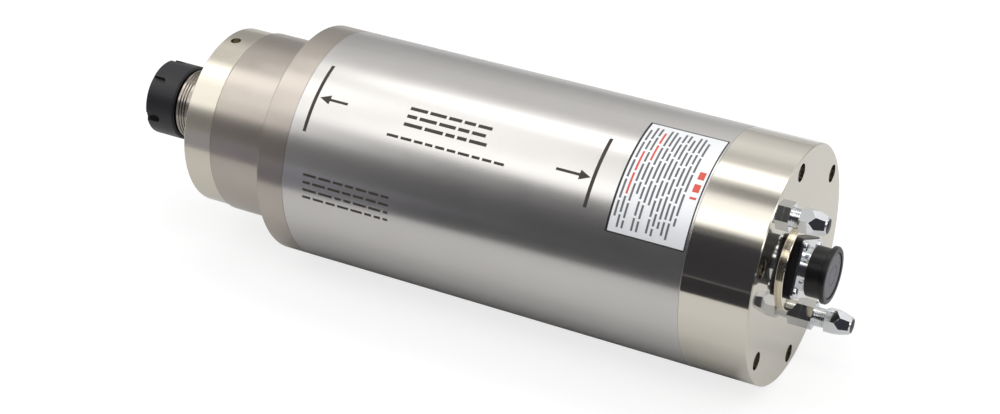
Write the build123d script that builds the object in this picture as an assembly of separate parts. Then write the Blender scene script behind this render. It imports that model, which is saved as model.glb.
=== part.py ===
from build123d import *
import os
from math import cos, radians, sin, tan

# Water-cooled motor spindle with a collet nose, in millimetres.
# The spindle axis is X: the nose points to -X, the socket end to +X, and +Z is up.
# The origin is on the axis, halfway along the clamped sleeve.
# Angles about the axis are measured from +Y towards +Z.

# Body, from the outside
body_radius = 62.5
sleeve_length = 225.0
sleeve_wall = 3.0
cover_length = 36.0
flange_thickness = 16.0
neck_radius = 50.0
neck_length = 38.0
cap_radius = 49.0
cap_length = 17.5
edge_break = 0.6
seam_break = 0.2

# Shaft nose
nose_gap = 27.0
collar_radius = 19.5
collar_relief = 0.6
collar_grooves = 3
collar_groove_width = 0.8
collar_groove_pitch = 1.7
collar_groove_depth = 0.6
collar_groove_setback = 2.6
nose_thread_radius = 16.0
thread_undercut = 1.0
thread_clearance = 0.1
shaft_core_radius = 16.0
shaft_bore_step = 2.0

# Collet and its nut
collet_length = 34.0
collet_radius = 13.0
collet_bore = 6.0
collet_recess = 0.5
collet_slits = 8
slit_width = 0.8
slit_bridge = 7.0
taper_angle = 8.0
seat_clearance = 0.05
front_cone_angle = 30.0
front_cone_length = 3.5
groove_width = 1.5
groove_depth = 1.4
collet_land = 1.5
nut_radius = 21.0
nut_length = 20.0
nut_slots = 6
nut_slot_width = 5.0
nut_slot_length = 10.4
nut_slot_depth = 2.8
nut_slot_angle = 36.5
nut_front_bevel = 2.0
nut_front_slope = 3.0
nut_rear_bevel = 0.9
nut_clearance = 0.2

# Nose cap
pilot_radius = 42.0
pilot_length = 9.0
cap_bore_clearance = 1.5
cap_land_length = 3.5
spanner_holes = 2
spanner_hole_radius = 2.8
spanner_hole_depth = 6.0
spanner_hole_setback = 6.6
spanner_hole_angle = 93.4

# Bearings: bore radius, outer radius, width, ball radius, ball count
front_bearing = (17.5, 31.0, 14.0, 4.2, 12)
rear_bearing = (12.5, 23.5, 12.0, 3.4, 10)
bearing_shoulder = 3.5
bearing_spacer = 4.0
race_clearance = 0.3
race_land = 0.45
pocket_clearance = 0.1
cage_width = 0.78
cage_wall = 0.6
lock_nut_length = 9.0
front_lock_nut_wall = 7.0
rear_lock_nut_wall = 6.0
slinger_width = 3.0
slinger_clearance = 2.0
spring_width = 2.5
spring_height = 3.0

# Motor
stator_setback = 105.0
stator_bore = 28.0
stator_slots = 18
slot_width = 5.0
slot_mouth = 2.0
slot_mouth_depth = 2.0
back_iron = 7.0
slot_liner = 0.3
winding_head = 18.0
winding_margin = 3.0
winding_bevel = 3.0
air_gap = 0.5
end_ring_length = 8.0
end_ring_step = 3.0
end_ring_inset = 1.0

# Cooling jacket and end plates
jacket_wall = 11.5
plate_thickness = 12.0
channel_count = 7
channel_depth = 6.5
rib_width = 5.0
end_land = 22.5
crossover_width = 14.0
duct_radius = 2.0
shallow_duct_inset = 4.3
deep_duct_inset = 8.9
seal_width = 2.6
seal_depth = 2.0
seal_setback = 13.0
hub_wall = 8.0

# Fixing screws
screw_count = 6
screw_radius = 2.5
screw_head_radius = 4.25
screw_head_height = 5.0
screw_key_radius = 2.3
screw_thread_depth = 9.0
hole_clearance = 0.25
counterbore_radius = 4.7
rear_counterbore_depth = 10.0
front_counterbore_depth = 6.0
rear_screw_inset = 8.0
front_screw_inset = 7.0
rear_screw_angle = 32.0
front_screw_angle = 2.0

# Power socket
boss_radius = 23.0
boss_height = 2.1
gasket_side = 31.0
gasket_height = 3.0
socket_side = 30.0
socket_plate = 1.2
socket_corner = 2.5
socket_twist = 62.0
shell_radius = 11.4
shell_wall = 1.6
shell_height = 10.0
socket_reach = 20.0
socket_screw_circle = 16.5
socket_screw_radius = 1.5
socket_screw_head = 2.6
socket_screw_height = 1.4
socket_screw_depth = 6.0
insert_recess = 3.0
insert_height = 1.0
pin_circle = 5.0
pin_radius = 1.2
pin_count = 4
pin_recess = 1.0
pin_setback = 3.0

# Dust cap
dust_cap_wall = 1.3
dust_cap_lip = 1.8
dust_cap_height = 10.7
dust_cap_rim_width = 3.0
dust_cap_rim_bevel = 0.6
dust_cap_gap = 0.3
dust_cap_setback = 3.2
dust_cap_disc_inset = 2.8
dust_cap_disc_depth = 0.8
dust_cap_floor = 1.6

# Coolant fittings: angle about the axis, hex length, bare thread length, duct inset in the jacket
upper_fitting = (116.1, 3.4, 4.8, shallow_duct_inset)
lower_fitting = (296.1, 6.4, 6.8, deep_duct_inset)
fitting_circle = 44.5
port_radius = 4.86
port_depth = 14.0
fitting_foot_gap = 2.0
fitting_hex_radius = 7.5
fitting_hex_angle = 53.5
fitting_bore = 2.4
tube_nut_radius = 7.0
tube_nut_angle = 33.3
tube_nut_length = 13.3
tube_nut_straight = 5.9
tube_nut_neck = 4.7
tube_nut_end = 4.5
tube_nut_mouth = 0.8
tube_nut_lip = 1.0
tube_nut_wall = 2.2
tube_bore = 3.1
ferrule_length = 3.2
ferrule_wall = 0.8
ferrule_clearance = 0.1
ferrule_gap = 0.5

# Wires inside the rear cover
cover_cavity_radius = 40.0
cover_cavity_depth = 18.0
lead_radius = 1.4
lead_hole_clearance = 1.0
lead_circle = 37.0
lead_step = 14.0
lead_bend = 4.0
lead_rise = 7.0
lead_run = 5.0

# Stations along the axis
x_sleeve_front = -sleeve_length / 2
x_sleeve_rear = sleeve_length / 2
x_rear_face = x_sleeve_rear + cover_length
x_flange_front = x_sleeve_front - flange_thickness
x_neck_front = x_flange_front - neck_length
x_cap_front = x_neck_front - cap_length
x_nut_rear = x_cap_front - nose_gap
x_nut_front = x_nut_rear - nut_length
x_pilot_front = x_neck_front - pilot_length
x_front_bearing = x_pilot_front + cap_land_length
x_second_bearing = x_front_bearing + front_bearing[2] + bearing_spacer
x_front_shoulder = x_second_bearing + front_bearing[2]
x_jacket_front = x_sleeve_front + plate_thickness
x_jacket_rear = x_sleeve_rear - plate_thickness
x_rear_bearing = x_jacket_rear - rear_bearing[2]
x_spring = x_rear_bearing - spring_width
x_collet_front = x_nut_front + collet_recess
x_collet_rear = x_collet_front + collet_length
x_collet_groove = x_collet_front + front_cone_length
x_collet_taper = x_collet_groove + groove_width + collet_land
x_gasket = x_rear_face + boss_height
x_socket = x_gasket + gasket_height
x_shell = x_socket + socket_plate

# Values that follow from the sizes above
sleeve_bore = body_radius - sleeve_wall
stator_radius = sleeve_bore - jacket_wall
slot_floor = stator_radius - back_iron
channel_floor = sleeve_bore - channel_depth
stator_length = sleeve_length - stator_setback
x_winding_end = stator_length / 2 + winding_head
rotor_radius = stator_bore - air_gap
cap_bore = collar_radius + cap_bore_clearance
front_shoulder_radius = front_bearing[1] - bearing_shoulder
rear_screw_circle = body_radius - rear_screw_inset
front_screw_circle = body_radius - front_screw_inset
dust_cap_bore = shell_radius + dust_cap_gap
dust_cap_radius = dust_cap_bore + dust_cap_wall
dust_cap_rim = dust_cap_radius + dust_cap_lip
collet_mouth = collet_radius - front_cone_length * tan(radians(front_cone_angle))
collet_slope = tan(radians(taper_angle))


def turned(*outline):
    """A solid of revolution about X; the outline's points are (x, radius)."""
    edges = Polyline(*outline, close=True)
    return revolve(make_face(edges), Axis.X, 360)


def ring(x_start, x_end, outer, inner):
    """A plain tube along the spindle axis."""
    return turned((x_start, inner), (x_end, inner), (x_end, outer), (x_start, outer))


def place(radius, angle):
    """The (y, z) of a point at an angle about the spindle axis."""
    return radius * cos(radians(angle)), radius * sin(radians(angle))


def circle_of(count, radius, first=0.0):
    """Evenly spaced (y, z) places on a circle about the spindle axis."""
    return [place(radius, first + 360.0 / count * k) for k in range(count)]


def rod(x_start, x_end, radius, spot=(0.0, 0.0)):
    """A round bar parallel to the spindle axis, through the (y, z) spot."""
    bar = Cylinder(radius, x_end - x_start, align=(Align.CENTER, Align.CENTER, Align.MIN))
    return Pos(x_start, *spot) * Rot(0, 90, 0) * bar


def bored_between(start, end, radius):
    """A round bar from one point to another."""
    axis = Plane(start, z_dir=Vector(*end) - Vector(*start))
    length = (Vector(*end) - Vector(*start)).length
    return axis * Cylinder(radius, length, align=(Align.CENTER, Align.CENTER, Align.MIN))


def crosswise(x_start, spot=(0.0, 0.0)):
    """A plane square to the spindle axis, on which angles run from +Y towards +Z."""
    return Plane((x_start, *spot), x_dir=(0, 1, 0), z_dir=(1, 0, 0))


def hexagon(x_start, x_end, radius, twist, spot):
    """A hexagonal bar parallel to the spindle axis, one corner at the twist angle."""
    outline = RegularPolygon(radius, 6, rotation=twist)
    return extrude(crosswise(x_start, spot) * outline, x_end - x_start)


def save(name, *solids):
    """Write one piece, or one group of like pieces, as its own STEP file."""
    shape = solids[0] if len(solids) == 1 else Compound(list(solids))
    export_step(shape, f"parts/{name}.step")


# Screws and the holes that they pass through

def cap_screw(x_seat, length, direction, spot):
    """A socket head screw; the head stands on x_seat and the shank runs the other way."""
    head_end = x_seat + direction * screw_head_height
    tip = x_seat - direction * length
    floor = head_end - direction * screw_head_height / 2
    head = rod(min(x_seat, head_end), max(x_seat, head_end), screw_head_radius, spot)
    shank = rod(min(x_seat, tip), max(x_seat, tip), screw_radius, spot)
    key = hexagon(min(head_end, floor), max(head_end, floor), screw_key_radius, 0, spot)
    return head + shank - key


def rear_screw_places():
    return circle_of(screw_count, rear_screw_circle, rear_screw_angle)


def front_screw_places():
    return circle_of(screw_count, front_screw_circle, front_screw_angle)


# Sleeve, jacket and seals

def outer_sleeve():
    return turned(
        (x_sleeve_front, sleeve_bore),
        (x_sleeve_front, body_radius - seam_break),
        (x_sleeve_front + seam_break, body_radius),
        (x_sleeve_rear - seam_break, body_radius),
        (x_sleeve_rear, body_radius - seam_break),
        (x_sleeve_rear, sleeve_bore),
    )


def channel_starts():
    """The front end of each coolant channel, and the channels' shared width."""
    first = x_jacket_front + end_land
    pitch = (x_jacket_rear - x_jacket_front - 2 * end_land + rib_width) / channel_count
    return [first + pitch * k for k in range(channel_count)], pitch - rib_width


def crossover(x_rib, side):
    """The gap through one rib that links two channels."""
    gap = ring(x_rib - rib_width / 2, x_rib + rib_width * 1.5, body_radius, channel_floor)
    wedge = Box(sleeve_length, body_radius, crossover_width, align=(Align.CENTER, Align.MIN, Align.CENTER))
    return gap & (Rot(side, 0, 0) * wedge)


def seal_starts():
    return x_jacket_front + seal_setback, x_jacket_rear - seal_setback - seal_width


def jacket_duct(fitting, x_end):
    """The long hole from the jacket's rear face, and the short one up into its channel."""
    spot = place(sleeve_bore - fitting[3], fitting[0])
    outlet = place(sleeve_bore - channel_depth / 2, fitting[0])
    return [
        rod(x_end, x_jacket_rear, duct_radius, spot),
        bored_between((x_end, *spot), (x_end, *outlet), duct_radius),
    ]


def cooling_jacket():
    """A tube whose ring channels are linked by crossovers on alternate sides."""
    body = ring(x_jacket_front, x_jacket_rear, sleeve_bore, stator_radius)
    starts, width = channel_starts()
    for x in starts:
        body -= ring(x, x + width, body_radius, channel_floor)
    for k, x in enumerate(starts[:-1]):
        body -= crossover(x + width, upper_fitting[0] + 180.0 * (k % 2))
    for x in seal_starts():
        body -= ring(x, x + seal_width, body_radius, sleeve_bore - seal_depth)
    body -= jacket_duct(upper_fitting, starts[-1] + width / 2)
    body -= jacket_duct(lower_fitting, starts[0] + width / 2)
    for spot in rear_screw_places():
        body -= rod(x_jacket_rear - screw_thread_depth, x_jacket_rear, screw_radius, spot)
    for spot in front_screw_places():
        body -= rod(x_jacket_front, x_jacket_front + screw_thread_depth, screw_radius, spot)
    return body


def jacket_seals():
    return [ring(x, x + seal_width, sleeve_bore, sleeve_bore - seal_depth) for x in seal_starts()]


# Front end

def front_housing():
    """The flange and the neck that hold both front bearings."""
    body = turned(
        (x_pilot_front, front_bearing[1]),
        (x_pilot_front, pilot_radius),
        (x_neck_front, pilot_radius),
        (x_neck_front, neck_radius - edge_break),
        (x_neck_front + edge_break, neck_radius),
        (x_flange_front, neck_radius),
        (x_flange_front, body_radius - edge_break),
        (x_flange_front + edge_break, body_radius),
        (x_sleeve_front, body_radius),
        (x_sleeve_front, sleeve_bore),
        (x_jacket_front, sleeve_bore),
        (x_jacket_front, front_shoulder_radius),
        (x_front_shoulder, front_shoulder_radius),
        (x_front_shoulder, front_bearing[1]),
    )
    for spot in front_screw_places():
        body -= rod(x_flange_front, x_flange_front + front_counterbore_depth, counterbore_radius, spot)
        body -= rod(x_flange_front, x_jacket_front, screw_radius + hole_clearance, spot)
    return body


def front_housing_screws():
    seat = x_flange_front + front_counterbore_depth
    length = x_jacket_front + screw_thread_depth - seat
    return [cap_screw(seat, length, -1, spot) for spot in front_screw_places()]


def nose_cap():
    """The screwed ring that closes the bearings, with blind holes for a pin spanner."""
    body = turned(
        (x_cap_front, cap_bore),
        (x_cap_front, cap_radius - edge_break),
        (x_cap_front + edge_break, cap_radius),
        (x_neck_front - edge_break, cap_radius),
        (x_neck_front, cap_radius - edge_break),
        (x_neck_front, pilot_radius),
        (x_pilot_front, pilot_radius),
        (x_pilot_front, front_bearing[1]),
        (x_front_bearing, front_bearing[1]),
        (x_front_bearing, front_shoulder_radius),
        (x_pilot_front, front_shoulder_radius),
        (x_pilot_front, cap_bore),
    )
    x_hole = x_cap_front + spanner_hole_setback
    for k in range(spanner_holes):
        angle = spanner_hole_angle + 360.0 / spanner_holes * k
        floor = (x_hole, *place(cap_radius - spanner_hole_depth, angle))
        mouth = (x_hole, *place(cap_radius + spanner_hole_radius, angle))
        body -= bored_between(floor, mouth, spanner_hole_radius)
    return body


# Bearings

def race_radius(bearing):
    """The radius of the circle through the ball centres."""
    return (bearing[0] + bearing[1]) / 2


def ball_places(bearing):
    return circle_of(bearing[4], race_radius(bearing))


def bearing_rings(bearing, x_start):
    """The outer and inner ring, each with a round ball groove."""
    bore, outer, width, ball, _ = bearing
    pitch = race_radius(bearing)
    land = ball * race_land
    track = Torus(pitch, ball + race_clearance)
    channel = Pos(x_start + width / 2, 0, 0) * Rot(0, 90, 0) * track
    outer_ring = ring(x_start, x_start + width, outer, pitch + land) - channel
    inner_ring = ring(x_start, x_start + width, pitch - land, bore) - channel
    return outer_ring, inner_ring


def bearing_balls(bearing, x_start):
    middle = x_start + bearing[2] / 2
    return [Pos(middle, *spot) * Sphere(bearing[3]) for spot in ball_places(bearing)]


def bearing_cage(bearing, x_start):
    """A ring between the races with one through pocket for each ball."""
    pitch = race_radius(bearing)
    ball = bearing[3]
    half_width = bearing[2] * cage_width / 2
    half_wall = ball * cage_wall / 2
    middle = x_start + bearing[2] / 2
    cage = ring(middle - half_width, middle + half_width, pitch + half_wall, pitch - half_wall)
    for y, z in ball_places(bearing):
        cage -= bored_between((middle, 0, 0), (middle, 2 * y, 2 * z), ball + pocket_clearance)
    return cage


def save_bearing(name, bearing, x_start):
    outer_ring, inner_ring = bearing_rings(bearing, x_start)
    save(f"{name}_outer_ring", outer_ring)
    save(f"{name}_inner_ring", inner_ring)
    save(f"{name}_cage", bearing_cage(bearing, x_start))
    save(f"{name}_balls", *bearing_balls(bearing, x_start))


def front_spacers():
    """The two rings that part the front bearings, outer and inner."""
    x_start = x_front_bearing + front_bearing[2]
    x_end = x_start + bearing_spacer
    outer = ring(x_start, x_end, front_bearing[1], front_shoulder_radius)
    inner = ring(x_start, x_end, front_bearing[0] + bearing_shoulder, front_bearing[0])
    return outer, inner


def lock_nut(x_start, bore, wall):
    """A round nut with four spanner slots across its rear face."""
    x_end = x_start + lock_nut_length
    body = ring(x_start, x_end, bore + wall, bore)
    notch = Pos(x_end, bore + wall, 0) * Box(lock_nut_length, wall * 0.7, wall * 0.6)
    return body - [Rot(angle, 0, 0) * notch for angle in range(0, 360, 90)]


# Rotor

def shaft():
    """The hollow nose with the collet's taper, the bearing seats and the plain tail."""
    x_deep = x_collet_rear + collet_recess
    mouth = collet_radius + seat_clearance
    deep = mouth - collet_slope * (x_deep - x_collet_taper)
    x_relief = x_nut_rear + collar_relief
    x_undercut = x_nut_rear - thread_undercut
    x_lock = x_front_shoulder + lock_nut_length + thread_undercut
    x_seat = x_front_bearing - slinger_width
    x_tail = x_jacket_rear + lock_nut_length
    x_mouth = x_collet_taper + collet_land
    body = turned(
        (x_mouth, mouth - collet_slope * collet_land),
        (x_mouth, nose_thread_radius - thread_undercut),
        (x_mouth + thread_undercut, nose_thread_radius),
        (x_undercut, nose_thread_radius),
        (x_undercut, nose_thread_radius - thread_undercut),
        (x_relief, nose_thread_radius - thread_undercut),
        (x_relief, collar_radius - edge_break),
        (x_relief + edge_break, collar_radius),
        (x_seat, collar_radius),
        (x_seat, front_bearing[0]),
        (x_lock, front_bearing[0]),
        (x_lock, shaft_core_radius),
        (x_rear_bearing, shaft_core_radius),
        (x_rear_bearing, rear_bearing[0]),
        (x_tail, rear_bearing[0]),
        (x_tail, 0),
        (x_front_bearing, 0),
        (x_front_bearing, deep - shaft_bore_step),
        (x_deep, deep - shaft_bore_step),
        (x_deep, deep),
    )
    floor = collar_radius - collar_groove_depth
    for k in range(collar_grooves):
        x_groove = x_nut_rear + collar_groove_setback + collar_groove_pitch * k
        body -= ring(x_groove, x_groove + collar_groove_width, cap_bore, floor)
    return body


def slinger():
    """The ring that throws mist outwards before it reaches the front bearing."""
    outer = front_shoulder_radius - slinger_clearance
    return ring(x_front_bearing - slinger_width, x_front_bearing, outer, front_bearing[0])


def rotor_core():
    return ring(-stator_length / 2, stator_length / 2, rotor_radius, shaft_core_radius)


def rotor_end_rings():
    half = stator_length / 2
    inner = shaft_core_radius + end_ring_step
    outer = rotor_radius - end_ring_inset
    front = ring(-half - end_ring_length, -half, outer, inner)
    rear = ring(half, half + end_ring_length, outer, inner)
    return front, rear


# Stator

def around_stator(piece):
    """One copy of a piece for each stator slot."""
    return [Rot(360.0 / stator_slots * k, 0, 0) * piece for k in range(stator_slots)]


def stator_core():
    """The laminated stack, with slots that open through a narrow mouth into the bore."""
    half = stator_length / 2
    slot_start = stator_bore + slot_mouth_depth
    inwards = (Align.CENTER, Align.MIN, Align.CENTER)
    slot = Pos(0, slot_start, 0) * Box(stator_length, slot_floor - slot_start, slot_width, align=inwards)
    mouth = Pos(0, stator_bore, 0) * Box(stator_length, 2 * slot_mouth_depth, slot_mouth)
    return ring(-half, half, stator_radius, stator_bore) - around_stator(slot + mouth)


def winding_end(side):
    """The rounded bundle of wires past one end of the stack."""
    near = side * stator_length / 2
    far = side * x_winding_end
    inner = stator_bore + winding_margin
    outer = stator_radius - winding_margin
    return turned(
        (near, inner),
        (far - side * winding_bevel, inner),
        (far, inner + winding_bevel),
        (far, outer - winding_bevel),
        (far - side * winding_bevel, outer),
        (near, outer),
    )


def stator_winding():
    """Copper bars in the slots, joined by a winding head at each end."""
    bar_start = stator_bore + slot_mouth_depth + slot_liner
    bar_depth = slot_floor - slot_liner - bar_start
    bar_width = slot_width - 2 * slot_liner
    inwards = (Align.CENTER, Align.MIN, Align.CENTER)
    bar = Pos(0, bar_start, 0) * Box(stator_length + 2 * slot_liner, bar_depth, bar_width, align=inwards)
    return winding_end(-1) + winding_end(1) + around_stator(bar)


# Rear end

def rear_housing():
    """The rear bearing's plate and hub, with the ducts and the holes that pass through it."""
    seat = rear_bearing[1]
    x_hub = x_spring - spring_height
    body = turned(
        (x_hub, seat - spring_height),
        (x_hub, seat + hub_wall),
        (x_jacket_rear, seat + hub_wall),
        (x_jacket_rear, sleeve_bore),
        (x_sleeve_rear, sleeve_bore),
        (x_sleeve_rear, seat),
        (x_spring, seat),
        (x_spring, seat - spring_height),
    )
    for spot in rear_screw_places():
        body -= rod(x_jacket_rear, x_sleeve_rear, screw_radius + hole_clearance, spot)
    for fitting in (upper_fitting, lower_fitting):
        inside = (x_jacket_rear, *place(sleeve_bore - fitting[3], fitting[0]))
        outside = (x_sleeve_rear, *place(fitting_circle, fitting[0]))
        body -= bored_between(inside, outside, duct_radius)
    for spot in lead_spots():
        body -= rod(x_jacket_rear, x_sleeve_rear, lead_radius + lead_hole_clearance, spot)
    return body


def preload_spring():
    """The washer spring that loads the rear bearing's outer ring."""
    return ring(x_spring, x_rear_bearing, rear_bearing[1], rear_bearing[1] - spring_height)


def rear_cover():
    """The thick end cap, with the socket's bore, the coolant ports and the screws' counterbores."""
    cavity_end = x_sleeve_rear + cover_cavity_depth
    body = turned(
        (x_sleeve_rear, cover_cavity_radius),
        (x_sleeve_rear, body_radius - seam_break),
        (x_sleeve_rear + seam_break, body_radius),
        (x_rear_face - edge_break, body_radius),
        (x_rear_face, body_radius - edge_break),
        (x_rear_face, shell_radius),
        (cavity_end, shell_radius),
        (cavity_end, cover_cavity_radius),
    )
    for spot in rear_screw_places():
        body -= rod(x_rear_face - rear_counterbore_depth, x_rear_face, counterbore_radius, spot)
        body -= rod(x_sleeve_rear, x_rear_face, screw_radius + hole_clearance, spot)
    for fitting in (upper_fitting, lower_fitting):
        spot = place(fitting_circle, fitting[0])
        body -= rod(x_rear_face - port_depth, x_rear_face, port_radius, spot)
        body -= rod(x_sleeve_rear, x_rear_face, duct_radius, spot)
    return body - socket_screw_holes(x_rear_face - socket_screw_depth, x_rear_face)


def rear_cover_screws():
    seat = x_rear_face - rear_counterbore_depth
    length = seat - x_jacket_rear + screw_thread_depth
    return [cap_screw(seat, length, 1, spot) for spot in rear_screw_places()]


# Power socket

def square_plate(x_start, height, side):
    outline = RectangleRounded(side, side, socket_corner, rotation=socket_twist)
    return extrude(crosswise(x_start) * outline, height)


def socket_screw_places():
    return circle_of(4, socket_screw_circle, socket_twist + 45)


def socket_screw_holes(x_start, x_end):
    """The four round holes that the socket's screws pass through."""
    return [rod(x_start, x_end, socket_screw_radius, spot) for spot in socket_screw_places()]


def socket_boss():
    return ring(x_rear_face, x_gasket, boss_radius, shell_radius) - socket_screw_holes(x_rear_face, x_gasket)


def socket_gasket():
    body = square_plate(x_gasket, gasket_height, gasket_side)
    return body - rod(x_gasket, x_socket, shell_radius) - socket_screw_holes(x_gasket, x_socket)


def socket_shell():
    """The square flange with its threaded shell in front and its barrel through the cover."""
    body = square_plate(x_socket, socket_plate, socket_side)
    body += rod(x_rear_face - socket_reach, x_shell + shell_height, shell_radius)
    body -= rod(x_rear_face - socket_reach, x_shell + shell_height, shell_radius - shell_wall)
    return body - socket_screw_holes(x_socket, x_shell)


def socket_screws():
    screws = []
    for spot in socket_screw_places():
        head = rod(x_shell, x_shell + socket_screw_height, socket_screw_head, spot)
        shank = rod(x_rear_face - socket_screw_depth, x_shell, socket_screw_radius, spot)
        screws.append(head + shank)
    return screws


def pin_places():
    return circle_of(pin_count, pin_circle, socket_twist)


def socket_insert():
    """The moulded block that holds the contact pins."""
    x_start = x_rear_face - socket_reach + insert_recess
    x_end = x_shell + insert_height
    body = rod(x_start, x_end, shell_radius - shell_wall)
    return body - [rod(x_start, x_end, pin_radius, spot) for spot in pin_places()]


def socket_pins():
    x_start = x_rear_face - socket_reach + pin_recess
    x_end = x_shell + shell_height - pin_setback
    return [rod(x_start, x_end, pin_radius, spot) for spot in pin_places()]


def dust_cap():
    """The pull-off cap, with a wide rim round a sunken disc."""
    x_start = x_shell + dust_cap_setback
    x_end = x_start + dust_cap_height
    x_rim = x_end - dust_cap_rim_width
    x_disc = x_end - dust_cap_disc_depth
    return turned(
        (x_start, dust_cap_bore),
        (x_start, dust_cap_radius),
        (x_rim, dust_cap_radius),
        (x_rim + dust_cap_rim_bevel, dust_cap_rim),
        (x_end - dust_cap_rim_bevel, dust_cap_rim),
        (x_end, dust_cap_rim - dust_cap_rim_bevel),
        (x_end, dust_cap_rim - dust_cap_disc_inset),
        (x_disc, dust_cap_rim - dust_cap_disc_inset),
        (x_disc, 0),
        (x_disc - dust_cap_floor, 0),
        (x_disc - dust_cap_floor, dust_cap_bore),
    )


def lead_spots():
    """Where the wires pass the rear plate, centred between two socket pins."""
    middle = socket_twist + 135
    return [place(lead_circle, middle + lead_step * k) for k in (1, 0, -1)]


def phase_leads():
    """Three wires from the winding to the socket pins, through the rear plate."""
    pins = pin_places()
    x_pin = x_rear_face - socket_reach + pin_recess
    x_bend = x_sleeve_rear + lead_rise
    leads = []
    for start, end in zip(lead_spots(), (pins[2], pins[0], pins[1])):
        path = FilletPolyline(
            (x_winding_end, *start),
            (x_bend, *start),
            (x_pin - lead_run, *end),
            (x_pin, *end),
            radius=lead_bend,
        )
        wire = Plane((x_winding_end, *start), z_dir=(1, 0, 0)) * Circle(lead_radius)
        leads.append(sweep(wire, path))
    return leads


# Coolant fittings

def fitting_stations(fitting):
    """Where the hex ends, where the tube nut starts and where the tube nut ends."""
    x_hex = x_rear_face + fitting[1]
    x_nut = x_hex + fitting[2]
    return x_hex, x_nut, x_nut + tube_nut_length


def fitting_body(fitting):
    """The hexagon with its thread into the cover and its thread for the tube nut."""
    spot = place(fitting_circle, fitting[0])
    x_hex, _, x_tip = fitting_stations(fitting)
    x_foot = x_rear_face - port_depth + fitting_foot_gap
    x_end = x_tip - tube_nut_lip - tube_nut_wall - ferrule_length - ferrule_gap
    body = rod(x_foot, x_end, port_radius, spot)
    body += hexagon(x_rear_face, x_hex, fitting_hex_radius, fitting_hex_angle, spot)
    return body - rod(x_foot, x_end, fitting_bore, spot)


def tapered_hexagon(x_start, x_end, spot):
    """A hexagon with its flats over the tube nut's corners, closing in towards the tube's end."""
    taper = (tube_nut_radius - tube_nut_neck) / (x_end - x_start - tube_nut_straight)
    wide = tube_nut_neck + taper * (x_end - x_start)
    twist = tube_nut_angle + 30.0
    base = RegularPolygon(wide, 6, major_radius=False, rotation=twist)
    top = RegularPolygon(tube_nut_neck, 6, major_radius=False, rotation=twist)
    return loft([crosswise(x_start, spot) * base, crosswise(x_end, spot) * top])


def tube_nut(fitting):
    """A hexagon that draws in to the tube end, over the fitting's thread and the ferrule."""
    spot = place(fitting_circle, fitting[0])
    _, x_nut, x_tip = fitting_stations(fitting)
    x_shoulder = x_tip - tube_nut_lip
    x_wall = x_shoulder - tube_nut_wall
    body = hexagon(x_nut, x_shoulder, tube_nut_radius, tube_nut_angle, spot)
    body = body & tapered_hexagon(x_nut, x_shoulder, spot)
    body += rod(x_shoulder - tube_nut_lip, x_tip, tube_nut_end, spot)
    body -= rod(x_nut, x_wall - ferrule_length, port_radius + thread_clearance, spot)
    body -= rod(x_nut, x_wall, tube_bore + ferrule_wall + ferrule_clearance, spot)
    mouth = turned(
        (x_tip - tube_nut_mouth, 0),
        (x_tip - tube_nut_mouth, tube_bore),
        (x_tip, tube_bore + tube_nut_mouth),
        (x_tip, 0),
    )
    return body - rod(x_nut, x_tip, tube_bore, spot) - Pos(0, *spot) * mouth


def ferrule(fitting):
    """The ring that the tube nut squeezes onto the tube."""
    spot = place(fitting_circle, fitting[0])
    _, _, x_tip = fitting_stations(fitting)
    x_end = x_tip - tube_nut_lip - tube_nut_wall - ferrule_clearance
    x_start = x_end - ferrule_length
    return rod(x_start, x_end, tube_bore + ferrule_wall, spot) - rod(x_start, x_end, tube_bore, spot)


# Collet and nut

def collet():
    """A spring collet: slits from the two ends alternate, so that it closes along its whole length."""
    rear_radius = collet_radius - collet_slope * (x_collet_rear - x_collet_taper)
    body = turned(
        (x_collet_front, collet_bore),
        (x_collet_front, collet_mouth),
        (x_collet_groove, collet_radius),
        (x_collet_groove, collet_radius - groove_depth),
        (x_collet_groove + groove_width, collet_radius - groove_depth),
        (x_collet_groove + groove_width, collet_radius),
        (x_collet_taper, collet_radius),
        (x_collet_rear, rear_radius),
        (x_collet_rear, collet_bore),
    )
    reach = collet_length - slit_bridge
    front_slit = Box(reach, nut_radius, slit_width, align=(Align.MIN, Align.MIN, Align.CENTER))
    rear_slit = Box(reach, nut_radius, slit_width, align=(Align.MAX, Align.MIN, Align.CENTER))
    half_step = 180.0 / collet_slits
    for k in range(collet_slits):
        body -= Rot(2 * half_step * k, 0, 0) * Pos(x_collet_front, 0, 0) * front_slit
        body -= Rot(2 * half_step * k + half_step, 0, 0) * Pos(x_collet_rear, 0, 0) * rear_slit
    return body


def nut_slot():
    """The cutter for one spanner slot: open at the nut's face and round at its inner end."""
    straight = Box(
        nut_slot_length - nut_slot_width / 2,
        nut_slot_width,
        2 * nut_slot_depth,
        align=(Align.MAX, Align.CENTER, Align.MIN),
    )
    tip = Cylinder(nut_slot_width / 2, 2 * nut_slot_depth, align=(Align.CENTER, Align.CENTER, Align.MIN))
    x_round = x_nut_front + nut_slot_length - nut_slot_width / 2
    return Pos(x_round, 0, nut_radius - nut_slot_depth) * (straight + tip)


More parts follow.
